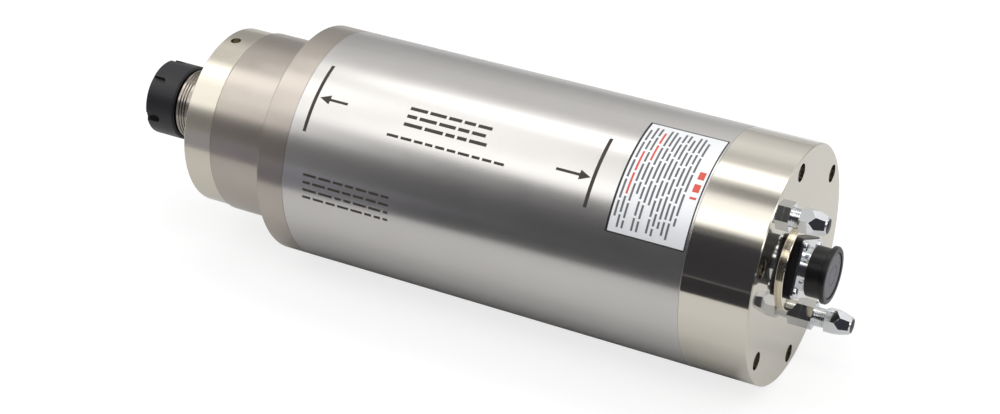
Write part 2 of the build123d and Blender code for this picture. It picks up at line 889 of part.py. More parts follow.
def collet_nut():
    """The round nut with spanner slots; its inner rib sits in the collet's groove."""
    bore = nose_thread_radius + thread_clearance
    inside = collet_radius + nut_clearance
    rib = inside - groove_depth
    rib_start = x_collet_groove + nut_clearance
    rib_end = x_collet_groove + groove_width - nut_clearance
    mouth = collet_mouth + nut_clearance - collet_recess * tan(radians(front_cone_angle))
    x_thread = rib_end + collet_land + nut_clearance
    body = turned(
        (x_nut_front, mouth),
        (x_nut_front, nut_radius - nut_front_slope),
        (x_nut_front + nut_front_bevel, nut_radius),
        (x_nut_rear - nut_rear_bevel, nut_radius),
        (x_nut_rear, nut_radius - nut_rear_bevel),
        (x_nut_rear, bore),
        (x_thread, bore),
        (x_thread, inside),
        (rib_end, inside),
        (rib_end, rib),
        (rib_start, rib),
        (rib_start, inside),
        (x_collet_groove, inside),
    )
    slot = nut_slot()
    return body - [Rot(360.0 / nut_slots * k + nut_slot_angle, 0, 0) * slot for k in range(nut_slots)]


def save_body():
    save("outer_sleeve", outer_sleeve())
    save("cooling_jacket", cooling_jacket())
    save("jacket_seals", *jacket_seals())
    save("front_housing", front_housing())
    save("front_housing_screws", *front_housing_screws())
    save("nose_cap", nose_cap())
    save("rear_housing", rear_housing())
    save("preload_spring", preload_spring())
    save("rear_cover", rear_cover())
    save("rear_cover_screws", *rear_cover_screws())
    save("stator_core", stator_core())
    save("stator_winding", stator_winding())


def save_rotor():
    outer_spacer, inner_spacer = front_spacers()
    save("shaft", shaft())
    save("slinger", slinger())
    save("rotor_core", rotor_core())
    save("rotor_end_rings", *rotor_end_rings())
    save("front_lock_nut", lock_nut(x_front_shoulder, front_bearing[0], front_lock_nut_wall))
    save("rear_lock_nut", lock_nut(x_jacket_rear, rear_bearing[0], rear_lock_nut_wall))
    save("outer_spacer", outer_spacer)
    save("inner_spacer", inner_spacer)


def save_socket():
    save("socket_boss", socket_boss())
    save("socket_gasket", socket_gasket())
    save("socket_shell", socket_shell())
    save("socket_screws", *socket_screws())
    save("socket_insert", socket_insert())
    save("socket_pins", *socket_pins())
    save("dust_cap", dust_cap())
    save("phase_leads", *phase_leads())


def save_fitting(name, fitting):
    save(f"{name}_fitting", fitting_body(fitting))
    save(f"{name}_tube_nut", tube_nut(fitting))
    save(f"{name}_ferrule", ferrule(fitting))


os.makedirs("parts", exist_ok=True)
save_body()
save_rotor()
save_bearing("front_bearing_1", front_bearing, x_front_bearing)
save_bearing("front_bearing_2", front_bearing, x_second_bearing)
save_bearing("rear_bearing", rear_bearing, x_rear_bearing)
save_socket()
save_fitting("upper", upper_fitting)
save_fitting("lower", lower_fitting)
save("collet", collet())
save("collet_nut", collet_nut())
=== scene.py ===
# %% [markdown]
# # A water-cooled motor spindle
# The spindle is a steel cylinder as long as a forearm: a ground sleeve between a turned flange and a
# polished end cap. Its parts arrive as a finished model, at true size, so this lesson is about surfaces.
# It loads the model first and notes how large it is, because nothing added later may grow past that.

# %% Load the spindle
import bpy
import bmesh
from math import cos, pi, radians, sin
from random import Random

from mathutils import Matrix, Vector


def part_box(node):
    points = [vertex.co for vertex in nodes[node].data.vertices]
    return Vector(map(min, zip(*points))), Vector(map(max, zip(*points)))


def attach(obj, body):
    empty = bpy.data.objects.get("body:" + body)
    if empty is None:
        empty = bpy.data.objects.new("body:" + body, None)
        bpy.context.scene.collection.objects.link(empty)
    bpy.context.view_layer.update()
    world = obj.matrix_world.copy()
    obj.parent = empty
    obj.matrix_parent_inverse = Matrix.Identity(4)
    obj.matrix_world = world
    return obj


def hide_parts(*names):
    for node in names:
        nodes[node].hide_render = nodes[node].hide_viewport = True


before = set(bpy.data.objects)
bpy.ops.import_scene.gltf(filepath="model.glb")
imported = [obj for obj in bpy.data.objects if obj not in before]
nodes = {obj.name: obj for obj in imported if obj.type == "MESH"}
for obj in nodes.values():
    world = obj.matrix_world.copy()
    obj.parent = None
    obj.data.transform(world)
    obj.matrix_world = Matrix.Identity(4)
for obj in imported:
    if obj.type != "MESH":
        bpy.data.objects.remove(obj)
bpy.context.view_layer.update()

# %% [markdown]
# ## Working in millimetres
# Drawings of machine parts are in millimetres and Blender works in metres. One constant keeps the two
# apart: a length is written as a number of millimetres times `MM`.

# %% Units and the spindle's own sizes
MM = 0.001
sleeve_low, sleeve_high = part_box("outer_sleeve")
BODY_RADIUS = sleeve_high[2]
REAR_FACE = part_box("rear_cover")[1][0]
FLOOR_HEIGHT = -BODY_RADIUS
print("body radius", round(BODY_RADIUS / MM, 2), "mm")
print("sleeve", round((sleeve_high[0] - sleeve_low[0]) / MM, 1), "mm long")

# %% [markdown]
# ## The camera
# A long lens keeps a cylinder's sides nearly parallel, as in a drawing. The camera stands beside the
# spindle and a little towards its socket end, and looks down at it, so that the socket end is nearest.

# %% Place the camera
CAMERA_PLACE = Vector((431.6, -853.7, 578.0)) * MM
CAMERA_LOOK = Vector((-0.39645, 0.75483, -0.52256))
LENS_MM = 76.83
SENSOR_MM = 36.0
NEAREST = 50.0 * MM

lens = bpy.data.cameras.new("camera")
lens.lens = LENS_MM
lens.sensor_width = SENSOR_MM
lens.clip_start = NEAREST
camera = bpy.data.objects.new("camera", lens)
camera.location = CAMERA_PLACE
camera.rotation_euler = CAMERA_LOOK.to_track_quat("-Z", "Y").to_euler()
bpy.context.scene.collection.objects.link(camera)
bpy.context.scene.camera = camera
bpy.context.scene.view_settings.view_transform = "Standard"
print("camera", round(CAMERA_PLACE.length / MM), "mm from the middle of the spindle")

# %% [markdown]
# ## Two small helpers for materials
# Colours are easy to read as sRGB hex values, but shaders calculate in linear light, so `colour` turns
# one into the other. `add` puts one node into a material with its settings, and joins its inputs either
# to another node's output or to a plain value.

# %% Colour and node helpers
def colour(code):
    """An sRGB hex value such as '#C0C0C0' as linear red, green, blue and alpha."""
    parts = [int(code[i:i + 2], 16) / 255 for i in (1, 3, 5)]
    return [p / 12.92 if p <= 0.04045 else ((p + 0.055) / 1.055) ** 2.4 for p in parts] + [1.0]


def add(tree, kind, inputs=None, **settings):
    """One new node; inputs maps a socket's name or number to a value or to another node's output."""
    new = tree.nodes.new(kind)
    for key, value in settings.items():
        setattr(new, key, value)
    for key, value in (inputs or {}).items():
        if isinstance(value, bpy.types.NodeSocket):
            tree.links.new(value, new.inputs[key])
        else:
            new.inputs[key].default_value = value
    return new


def new_material(name):
    """An empty material with its output node, ready for a shader."""
    material = bpy.data.materials.new(name)
    material.use_nodes = True
    tree = material.node_tree
    tree.nodes.clear()
    return material, tree, add(tree, "ShaderNodeOutputMaterial")


print("mid grey #808080 is", round(colour("#808080")[0], 3), "in linear light")

# %% [markdown]
# ## Metal that a machine has cut
# Every bright surface here was cut or ground while it turned, and that leaves fine rings around it. The
# real rings are a few hundredths of a millimetre apart, far too fine to show, so they are drawn a quarter
# to half a millimetre apart. Together they spread a reflection along the axis and keep it crisp around the
# body, which gives long bands of light. `ring_noise` mixes a noise squeezed along the axis, for the rings,
# with an even one for the grain of the steel, and with a wide one for the smudges that hands leave.

# %% Rings, grain and smudges
RING_STRETCH = 0.06
SMUDGE_MM = 24.0
SMUDGE_SHARE = 0.4


def ring_noise(tree, ring_mm, grain_mm, lines):
    """Rings and grain as one noise, and the same noise with smudges mixed in."""
    place = add(tree, "ShaderNodeTexCoord").outputs["Object"]
    ring_scale = 1 / (ring_mm * MM)
    rings_map = add(tree, "ShaderNodeMapping", {
        "Vector": place,
        "Scale": (ring_scale, ring_scale * RING_STRETCH, ring_scale * RING_STRETCH),
    })
    rings = add(tree, "ShaderNodeTexNoise", {"Vector": rings_map.outputs[0], "Scale": 1.0, "Detail": 3.0})
    grain = add(tree, "ShaderNodeTexNoise", {"Vector": place, "Scale": 1 / (grain_mm * MM), "Detail": 2.0})
    marks = add(tree, "ShaderNodeMix", {
        "Factor": lines, "A": grain.outputs["Fac"], "B": rings.outputs["Fac"],
    }, data_type="FLOAT")
    smudge = add(tree, "ShaderNodeTexNoise", {"Vector": place, "Scale": 1 / (SMUDGE_MM * MM), "Detail": 4.0})
    patchy = add(tree, "ShaderNodeMix", {
        "Factor": SMUDGE_SHARE, "A": marks.outputs["Result"], "B": smudge.outputs["Fac"],
    }, data_type="FLOAT")
    return marks.outputs["Result"], patchy.outputs["Result"]


print("smudges about", SMUDGE_MM, "mm across")

# %% [markdown]
# ## Edges that catch the light
# Real corners are never perfectly sharp. A bevel node turns the surface's direction slightly within a
# fifth of a millimetre of each edge, which draws the thin bright line that tells the eye it is looking at
# metal. The bump of the noise is laid on top of that.

# %% Rounded edges with a fine relief
EDGE_MM = 0.2
BEVEL_SAMPLES = 4


def relief(tree, noise, height_mm, edge_mm=EDGE_MM):
    """The surface's direction: corners rounded by edge_mm and a noise height_mm high."""
    rounded = add(tree, "ShaderNodeBevel", {"Radius": edge_mm * MM}, samples=BEVEL_SAMPLES)
    bump = add(tree, "ShaderNodeBump", {
        "Height": noise, "Distance": height_mm * MM, "Normal": rounded.outputs[0],
    })
    return bump.outputs["Normal"]


print("edges rounded by", EDGE_MM, "mm")

# %% [markdown]
# ## The recipe for a machined metal
# The noise changes colour, roughness and height a little. A lathe leaves a flat end face smoother than a
# long side, so a face that looks along the axis can have a roughness of its own. Two reflections are
# mixed, a sharp one and a wide one: the wide one is the haze around a highlight on ground steel.

# %% A machined metal
HAZE_ROUGHNESS = 0.46
END_FACE = 0.95
NOISE_LOW = 0.3
NOISE_HIGH = 0.7


def machined(
    name, tone, shade, roughness, ring_mm, grain_mm, height_mm,
    haze=0.0, spread=0.06, lines=0.35, end_roughness=None,
):
    """A metal with rings ring_mm apart and a grain of grain_mm; haze is the share of wide reflection."""
    material, tree, output = new_material(name)
    marks, patchy = ring_noise(tree, ring_mm, grain_mm, lines)
    tint = add(tree, "ShaderNodeMix", {"Factor": patchy, 6: colour(shade), 7: colour(tone)}, data_type="RGBA")
    rough = add(tree, "ShaderNodeMapRange", {
        "Value": patchy, "From Min": NOISE_LOW, "From Max": NOISE_HIGH,
        "To Min": roughness - spread / 2, "To Max": roughness + spread / 2,
    })
    facing = add(tree, "ShaderNodeSeparateXYZ", {0: add(tree, "ShaderNodeTexCoord").outputs["Normal"]})
    endwise = add(tree, "ShaderNodeMath", {0: facing.outputs["X"]}, operation="ABSOLUTE")
    on_face = add(tree, "ShaderNodeMath", {0: endwise.outputs[0], 1: END_FACE}, operation="GREATER_THAN")
    final_rough = add(tree, "ShaderNodeMix", {
        "Factor": on_face.outputs[0],
        "A": rough.outputs["Result"],
        "B": roughness if end_roughness is None else end_roughness,
    }, data_type="FLOAT")
    normal = relief(tree, marks, height_mm)
    sharp, wide = [
        add(tree, "ShaderNodeBsdfPrincipled", {
            "Base Color": tint.outputs[2], "Metallic": 1.0, "Roughness": gloss, "Normal": normal,
        })
        for gloss in (final_rough.outputs["Result"], HAZE_ROUGHNESS)
    ]
    both = add(tree, "ShaderNodeMixShader", {0: haze, 1: sharp.outputs[0], 2: wide.outputs[0]})
    tree.links.new(both.outputs[0], output.inputs["Surface"])
    return material


print("a highlight's haze has a roughness of", HAZE_ROUGHNESS)

# %% [markdown]
# ## The machined metals
# Steel that was ground, steel that was turned, and steel plated with nickel and then polished differ in
# warmth, in how sharp they reflect and in how coarse their rings are. The shaft is hardened and ground to
# sharper reflections than the housing around it, and its darker tone is painted shade for the length of
# shaft between the collet nut and the nose cap.

# %% Eight machined metals
# Ground stainless steel: a cool grey with soft, long bands and a clear haze.
ground_stainless = machined(
    "ground_stainless", "#CECCC9", "#BFBCB9", 0.20, 0.25, 0.5, 0.001, haze=0.24,
)
# Turned steel: warmer and uneven, because the cutter leaves rings and hands leave stains.
turned_steel = machined(
    "turned_steel", "#BFB7AE", "#A49C93", 0.19, 0.3, 0.6, 0.0016, haze=0.25, spread=0.09, lines=0.6,
)
# Hardened and ground steel: sharp, with a darker tone that is painted shade.
shaft_steel_painted_shade = machined(
    "shaft_steel_painted_shade", "#A9A299", "#979087", 0.11, 0.3, 0.6, 0.0012, haze=0.06, lines=0.6,
)
# Nickel plate over turned steel: the warm, satin shine of the nose cap.
satin_nickel = machined(
    "satin_nickel", "#D6D0C3", "#CAC3B5", 0.16, 0.35, 1.2, 0.0006, haze=0.15,
)
# Polished nickel plate: hard edges in every reflection, and an end face close to a mirror.
bright_nickel = machined(
    "bright_nickel", "#D6D1C6", "#CAC5B9", 0.08, 0.35, 1.2, 0.0005,
    haze=0.03, spread=0.03, end_roughness=0.05,
)
# Finely ground bearing steel: neutral and bright.
bearing_steel = machined("bearing_steel", "#C9C9C7", "#B8B8B6", 0.14, 0.2, 1.0, 0.001)
# Milled aluminium: pale and dull, with the cutter's tracks.
milled_aluminium = machined("milled_aluminium", "#D2D3D3", "#BDBEBE", 0.30, 0.4, 0.8, 0.004, lines=0.7)
# Stacked iron sheets: dark, with half a millimetre from sheet to sheet.
laminated_iron = machined("laminated_iron", "#6E6C6A", "#4B4A49", 0.45, 0.5, 0.8, 0.02, lines=0.95)
print("eight machined metals")

# %% [markdown]
# ## Plated metal
# The coolant fittings and the socket's flange are brass under bright chrome. Chrome is almost a mirror,
# with a faint blue cast, and nickel is as smooth but warmer. A very weak, wide noise keeps flats from
# looking like perfect glass.

# %% Chrome, nickel and brass
PLATE_VARIES = 0.4


def plated(name, tone, roughness, wave_mm, height_mm):
    """A smooth plated metal whose surface waves very slightly."""
    material, tree, output = new_material(name)
    place = add(tree, "ShaderNodeTexCoord").outputs["Object"]
    wave = add(tree, "ShaderNodeTexNoise", {"Vector": place, "Scale": 1 / (wave_mm * MM), "Detail": 1.5})
    rough = add(tree, "ShaderNodeMapRange", {
        "Value": wave.outputs["Fac"], "From Min": NOISE_LOW, "From Max": NOISE_HIGH,
        "To Min": roughness * (1 - PLATE_VARIES), "To Max": roughness * (1 + PLATE_VARIES),
    })
    shader = add(tree, "ShaderNodeBsdfPrincipled", {
        "Base Color": colour(tone),
        "Metallic": 1.0,
        "Roughness": rough.outputs["Result"],
        "Normal": relief(tree, wave.outputs["Fac"], height_mm),
    })
    tree.links.new(shader.outputs[0], output.inputs["Surface"])
    return material


# Bright chrome plate: a cool mirror.
chrome_plate = plated("chrome_plate", "#DEE0E2", 0.06, 2.5, 0.004)
# Bright nickel plate on a turned disc: a warm mirror.
mirror_nickel = plated("mirror_nickel", "#E0D9C8", 0.05, 6.0, 0.002)
# Drawn brass: yellow and softly shining, on the contact pins.
contact_brass = plated("contact_brass", "#D9B76A", 0.16, 1.0, 0.002)
print("three plated metals")

# %% [markdown]
# ## Plain coloured surfaces
# The rest are not bare metal: black oxide on the collet nut, rubber, moulded resin, enamelled copper,
# silicone, the label's film and its inks. They share one recipe, a base colour that varies a little, a
# roughness and a fine grain, and differ in their numbers.

# %% A coated or moulded surface
COAT_VARIES = 0.15


def coated(
    name, tone, shade, roughness, grain_mm, height_mm,
    ior=1.5, metallic=0.0, edge_mm=EDGE_MM,
):
    """A skin or a moulded material with a fine grain."""
    material, tree, output = new_material(name)
    place = add(tree, "ShaderNodeTexCoord").outputs["Object"]
    grain = add(tree, "ShaderNodeTexNoise", {"Vector": place, "Scale": 1 / (grain_mm * MM), "Detail": 3.0})
    tint = add(tree, "ShaderNodeMix", {
        "Factor": grain.outputs["Fac"], 6: colour(shade), 7: colour(tone),
    }, data_type="RGBA")
    rough = add(tree, "ShaderNodeMapRange", {
        "Value": grain.outputs["Fac"], "From Min": NOISE_LOW, "From Max": NOISE_HIGH,
        "To Min": roughness * (1 - COAT_VARIES), "To Max": roughness * (1 + COAT_VARIES),
    })
    shader = add(tree, "ShaderNodeBsdfPrincipled", {
        "Base Color": tint.outputs[2],
        "Metallic": metallic,
        "Roughness": rough.outputs["Result"],
        "IOR": ior,
        "Normal": relief(tree, grain.outputs["Fac"], height_mm, edge_mm),
    })
    tree.links.new(shader.outputs[0], output.inputs["Surface"])
    return material


print("roughness varies by", COAT_VARIES, "of its value")

# %% [markdown]
# ## The coatings, rubbers, resins and inks
# Black oxide is a thin skin grown on steel, so its reflection is weak but fairly sharp. Rubber has a wide,
# dull one, and its moulded corners are rounder. A white film over foil shines a little, as metal does.

# %% Fourteen coated or moulded materials
# Black oxide, grown in a hot bath: a near black, half matt skin.
black_oxide = coated("black_oxide", "#212024", "#18171B", 0.38, 0.4, 0.003, ior=1.42)
# Moulded black rubber: soft highlights along round corners.
black_rubber = coated("black_rubber", "#151518", "#0E0E11", 0.36, 0.5, 0.003, ior=1.42, edge_mm=0.6)
# The disc on the dust cap: a dull, even grey.
cap_disc_grey = coated("cap_disc_grey", "#6E6E73", "#606065", 0.55, 0.4, 0.004)
# Moulded seal rubber: a warm, dull black.
seal_rubber = coated("seal_rubber", "#201F1F", "#171616", 0.5, 0.4, 0.004)
# Moulded resin with cloth in it: brown and slightly mottled.
cage_resin = coated("cage_resin", "#9A7B4F", "#86683F", 0.5, 0.5, 0.006)
# Moulded black resin: a weak, wide shine.
black_resin = coated("black_resin", "#242426", "#1B1B1D", 0.4, 0.6, 0.004)
# Wound enamelled copper: the metal's red shines through the enamel, wire by wire.
enamelled_copper = coated("enamelled_copper", "#B0673A", "#8C4A26", 0.28, 0.9, 0.12, metallic=0.8)
# Extruded silicone: a plain red with a soft shine.
red_silicone = coated("red_silicone", "#A3231C", "#8E1B16", 0.45, 0.8, 0.003)
# Printed film over foil: white, and a little brighter where light strikes it.
white_film = coated("white_film", "#EEEFF1", "#E9EAED", 0.42, 0.3, 0.0005, metallic=0.3)
# Screen printed inks: flat colours, half matt.
black_ink = coated("black_ink", "#1B1A1A", "#121111", 0.4, 0.3, 0.0005)
red_ink = coated("red_ink", "#E0584A", "#D44A3C", 0.4, 0.3, 0.0005)
grey_ink = coated("grey_ink", "#6E6E72", "#58585C", 0.4, 0.3, 0.0005)
# Etched steel: a dull brown grey in which the metal still glints.
etched_mark = coated("etched_mark", "#4E4740", "#302A25", 0.6, 0.35, 0.003, metallic=0.4)
# The bore inside each tube nut: an even, dull grey.
bore_grey = coated("bore_grey", "#6A6A6B", "#5A5A5C", 0.55, 0.5, 0.004)
print("fourteen coated or moulded materials")

# %% [markdown]
# ## Which piece is made of what
# Each loaded piece gets its finish here. A list of pieces for each material reads like a maker's parts
# list, and the check at the end shows that none was forgotten.

# %% Finish the loaded pieces
bearings = ("front_bearing_1", "front_bearing_2", "rear_bearing")
finishes = [
    (ground_stainless, ["outer_sleeve"]),
    (turned_steel, ["front_housing"]),
    (shaft_steel_painted_shade, ["shaft"]),
    (satin_nickel, ["nose_cap"]),
    (bright_nickel, ["rear_cover"]),
    (mirror_nickel, ["socket_boss"]),
    (chrome_plate, ["upper_fitting", "lower_fitting", "upper_tube_nut", "lower_tube_nut"]),
    (chrome_plate, ["upper_ferrule", "lower_ferrule", "socket_shell", "socket_screws"]),
    (black_oxide, ["collet_nut"]),
    (black_rubber, ["socket_gasket", "dust_cap"]),
    (seal_rubber, ["jacket_seals"]),
    (black_resin, ["socket_insert"]),
    (contact_brass, ["socket_pins"]),
    (milled_aluminium, ["cooling_jacket", "rear_housing", "rotor_end_rings", "slinger"]),
    (laminated_iron, ["stator_core", "rotor_core"]),
    (enamelled_copper, ["stator_winding"]),
    (red_silicone, ["phase_leads"]),
    (bearing_steel, ["collet", "outer_spacer", "inner_spacer", "front_lock_nut", "rear_lock_nut"]),
    (bearing_steel, ["preload_spring", "front_housing_screws", "rear_cover_screws"]),
    (bearing_steel, [f"{b}_{part}" for b in bearings for part in ("outer_ring", "inner_ring", "balls")]),
    (cage_resin, [f"{b}_cage" for b in bearings]),
]
for material, names in finishes:
    for name in names:
        nodes[name].data.materials.clear()
        nodes[name].data.materials.append(material)
finished = [name for _, names in finishes for name in names]
print(len(finished), "pieces finished, forgotten:", sorted(set(nodes) - set(finished)))

# %% [markdown]
# ## A new piece
# Everything added to the loaded model is a mesh built point by point. `make_piece` hands an empty bmesh to
# a function that fills it, turns all faces outwards, and lets the result ride on one body of the spindle,
# so that it moves when that body moves.

# %% Make a piece that rides on a body
def make_piece(name, mesh_maker, material, body="housing"):
    """A new object from a function that fills a bmesh, riding on a body."""
    bm = bmesh.new()
    mesh_maker(bm)
    bmesh.ops.recalc_face_normals(bm, faces=bm.faces)
    mesh = bpy.data.meshes.new(name)
    bm.to_mesh(mesh)
    bm.free()
    mesh.materials.append(material)
    piece = bpy.data.objects.new(name, mesh)
    bpy.context.scene.collection.objects.link(piece)
    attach(piece, body)
    return piece


# %% [markdown]
# ## Marks on a cylinder
# Etched lines and labels follow the body's curve. `on_body` turns a place along the axis and an angle up
# from the side into a point on the cylinder, and `wrapped` fills a rectangle of such places with a fine
# grid, so that the mark bends with the metal instead of cutting through it.

# %% Helpers for curved marks
STEP_DEGREES = 1.5
FILM = 0.03 * MM


def on_body(x, angle, lift):
    """The point at x along the axis and angle degrees up from the near side, lift above the surface."""
    radius = BODY_RADIUS + lift
    return Vector((x, -radius * cos(radians(angle)), radius * sin(radians(angle))))


def wrapped(bm, x_start, x_end, low, high, base_lift=0.0):
    """A thin curved plate over x_start..x_end and low..high degrees, one film thick."""
    lift = base_lift + FILM
    rows = max(2, round((high - low) / STEP_DEGREES) + 1)
    angles = [low + (high - low) * k / (rows - 1) for k in range(rows)]
    top = [[bm.verts.new(on_body(x, a, lift)) for x in (x_start, x_end)] for a in angles]
    base = [[bm.verts.new(on_body(x, a, base_lift)) for x in (x_start, x_end)] for a in angles]
    for k in range(rows - 1):
        bm.faces.new((top[k][0], top[k][1], top[k + 1][1], top[k + 1][0]))
        bm.faces.new((base[k][1], base[k][0], base[k + 1][0], base[k + 1][1]))
        bm.faces.new((base[k][0], top[k][0], top[k + 1][0], base[k + 1][0]))
        bm.faces.new((top[k][1], base[k][1], base[k + 1][1], top[k + 1][1]))
    bm.faces.new((base[0][0], base[0][1], top[0][1], top[0][0]))
    bm.faces.new((base[-1][1], base[-1][0], top[-1][0], top[-1][1]))


print("a mark stands", FILM / MM, "mm proud of the metal")

# %% [markdown]
# ## The clamping limits
# Two arcs are etched into the sleeve, each with an arrow that points at it from inside. They say how far
# the clamp may reach. They could be painted in a texture, but as thin plates they stay sharp close up and
# travel with the model. An arrow is a bar and a row of shrinking steps that make its point.

# %% Limit arcs and arrows
ARC_WIDTH = 1.9 * MM
ARROW_WIDTH_DEGREES = 1.3
HEAD_LENGTH = 6.0 * MM
HEAD_HALF_DEGREES = 2.4
HEAD_STEPS = 8
LIMITS = {
    "front": {"arc": -104.1, "low": 35.0, "high": 71.3, "tip": -101.8, "tail": -85.3, "angle": 52.8},
    "rear": {"arc": 56.5, "low": 34.7, "high": 70.1, "tip": 54.9, "tail": 36.1, "angle": 48.5},
}


def arrow(bm, tip, tail, angle):
    """A bar from tail to the head, and a head that narrows to the tip."""
    towards = 1 if tip > tail else -1
    neck = tip - towards * HEAD_LENGTH
    half = ARROW_WIDTH_DEGREES / 2
    wrapped(bm, min(tail, neck), max(tail, neck), angle - half, angle + half)
    for k in range(HEAD_STEPS):
        start = neck + (tip - neck) * k / HEAD_STEPS
        end = neck + (tip - neck) * (k + 1) / HEAD_STEPS
        reach = HEAD_HALF_DEGREES * (1 - (k + 0.5) / HEAD_STEPS)
        wrapped(bm, min(start, end), max(start, end), angle - reach, angle + reach)


for side, limit in LIMITS.items():
    arc_x = limit["arc"] * MM
    make_piece(
        f"clamp_limit_{side}",
        lambda bm: wrapped(bm, arc_x - ARC_WIDTH / 2, arc_x + ARC_WIDTH / 2, limit["low"], limit["high"]),
        etched_mark,
    )
    make_piece(
        f"clamp_arrow_{side}",
        lambda bm: arrow(bm, limit["tip"] * MM, limit["tail"] * MM, limit["angle"]),
        etched_mark,
    )
print("limit arcs at", [limit["arc"] for limit in LIMITS.values()], "mm")

# %% [markdown]
# ## The lettering's places
# The body carries a few lines of lettering between the arrows and a block of ratings near the nose. Here
# their places hold plain bars instead, as a layout drawing rules lines where words will go. A `random`
# generator with a fixed seed breaks each line into bars of uneven length, the same every time.

# %% Bars where the lettering goes
LINES = [
    {"name": "title_bars", "x": (-51.0, -3.0), "longest": 10.8,
     "rows": [(58.2, 59.9), (54.0, 55.7), (49.8, 51.5)]},
    {"name": "advice_bars", "x": (-58.0, 9.5), "longest": 7.2,
     "rows": [(43.1, 44.4)]},
    {"name": "rating_bars", "x": (-100.0, -49.0), "longest": 8.4,
     "rows": [(14.2, 15.4), (10.4, 11.6), (6.6, 7.8), (2.8, 4.0)]},
]
BAR_GAP = 1.5 * MM
SHORTEST_SHARE = 0.45


def spans(start, end, longest, seed):
    """Uneven lengths that fill start..end with a gap after each."""
    dice = Random(seed)
    found = []
    place = start
    while place < end - BAR_GAP:
        stop = min(end, place + longest * dice.uniform(SHORTEST_SHARE, 1.0))
        found.append((place, stop))
        place = stop + BAR_GAP
    return found


def ruled_along(bm, line):
    """Rows of bars that run along the axis."""
    x_start, x_end = line["x"]
    for seed, (low, high) in enumerate(line["rows"]):
        for start, end in spans(x_start * MM, x_end * MM, line["longest"] * MM, seed):
            wrapped(bm, start, end, low, high)


for line in LINES:
    make_piece(line["name"], lambda bm: ruled_along(bm, line), etched_mark)
print("bars in place of", sum(len(line["rows"]) for line in LINES), "rows of lettering")

# %% [markdown]
# ## The label
# A white film label wraps a sixth of the way around, beside the end cap. It has a black border, a red
# heading and thirteen rows that run around the body. The print stands one film above the label, so that
# the two never fight for the same place. A decal would need an image; plates need only a few numbers.

# %% Label and border
LABEL_X = (69.6 * MM, 111.5 * MM)
LABEL_ANGLE = (27.0, 87.0)
BORDER = 0.7 * MM
BORDER_WIDE = 1.12 * MM
BORDER_DEGREES = 0.6


def border(bm):
    """Four black strips around the label's edge, the one towards the nose a little wider."""
    (x0, x1), (low, high) = LABEL_X, LABEL_ANGLE
    wrapped(bm, x0, x1, low, low + BORDER_DEGREES, FILM)
    wrapped(bm, x0, x1, high - BORDER_DEGREES, high, FILM)
    wrapped(bm, x0, x0 + BORDER_WIDE, low + BORDER_DEGREES, high - BORDER_DEGREES, FILM)
    wrapped(bm, x1 - BORDER, x1, low + BORDER_DEGREES, high - BORDER_DEGREES, FILM)


make_piece("label_film", lambda bm: wrapped(bm, *LABEL_X, *LABEL_ANGLE), white_film)
make_piece("label_border", border, black_ink)
print("label", round((LABEL_X[1] - LABEL_X[0]) / MM, 1), "mm long")

# %% [markdown]
# ## The label's rows
# Each row is broken into bars like the ones on the sleeve, here measured in degrees around the body. Every
# third row starts lower and ends short, as the last line of a paragraph does, and a part of two rows is
# red.

# %% Ruled rows and heading
ROWS = 13
ROW_START = 72.6 * MM
ROW_PITCH = 2.55 * MM
ROW_HALF = 0.55 * MM
ROW_SEED = 100
ROW_INSET = 3.0
SHORT_ROW_TOP = 5.5
SHORT_ROW_END = 14.0
WORD_DEGREES = 11.0
WORD_SHARE = 0.4
WORD_GAP = 1.1
LAST_WORD = 2.0
RED_ROWS = (1, 3)
RED_FROM = 12.0
RED_TO = 34.0
HEADING = [(60.5, 64.5), (54.0, 58.0), (50.5, 51.6)]
HEADING_INSET = 3.6 * MM
HEADING_HALF = 1.7 * MM


def label_row(row):
    """The bars of one row as (low, high, is it red) in degrees; some rows end short."""
    dice = Random(ROW_SEED + row)
    short = row % 3 == 0
    low = LABEL_ANGLE[0] + ROW_INSET + (SHORT_ROW_END * dice.random() if short else 0.0)
    place = LABEL_ANGLE[1] - (SHORT_ROW_TOP if short else ROW_INSET)
    found = []
    while place > low + LAST_WORD:
        stop = max(low, place - WORD_DEGREES * dice.uniform(WORD_SHARE, 1.0))
        found.append((stop, place, row in RED_ROWS and low + RED_FROM < stop < low + RED_TO))
        place = stop - WORD_GAP
    return found


def ruled_around(bm, red):
    """Rows of bars that run around the body, either the red ones or the others."""
    for row in range(ROWS):
        x = ROW_START + ROW_PITCH * row
        for low, high, is_red in label_row(row):
            if is_red == red:
                wrapped(bm, x - ROW_HALF, x + ROW_HALF, low, high, FILM)


def heading(bm):
    """Two red blocks and a short bar."""
    x = LABEL_X[1] - HEADING_INSET
    for low, high in HEADING:
        wrapped(bm, x - HEADING_HALF, x + HEADING_HALF, low, high, FILM)


make_piece("label_rows", lambda bm: ruled_around(bm, False), grey_ink)
make_piece("label_red_rows", lambda bm: ruled_around(bm, True), red_ink)
make_piece("label_heading", heading, red_ink)
print("label with", ROWS, "rows")

# %% [markdown]
# ## Threads on the coolant fittings
# A short length of thread shows between each fitting's hexagon and its tube nut. A screw thread is a
# ridge wound into a helix, so it is built as one: a small triangle swept around the fitting's axis while
# it moves along. A bump texture would be quicker, but its outline stays a plain cylinder's. `THREADS` says
# how far each fitting's hexagon reaches from the rear face.

# %% Threads
THREAD_PITCH = 0.907 * MM
THREAD_ROOT = 4.7 * MM
THREAD_CREST = 5.1 * MM
THREAD_STEPS = 40
THREAD_FLANK = 0.98
THREADS = {"upper": 3.4 * MM, "lower": 6.4 * MM}


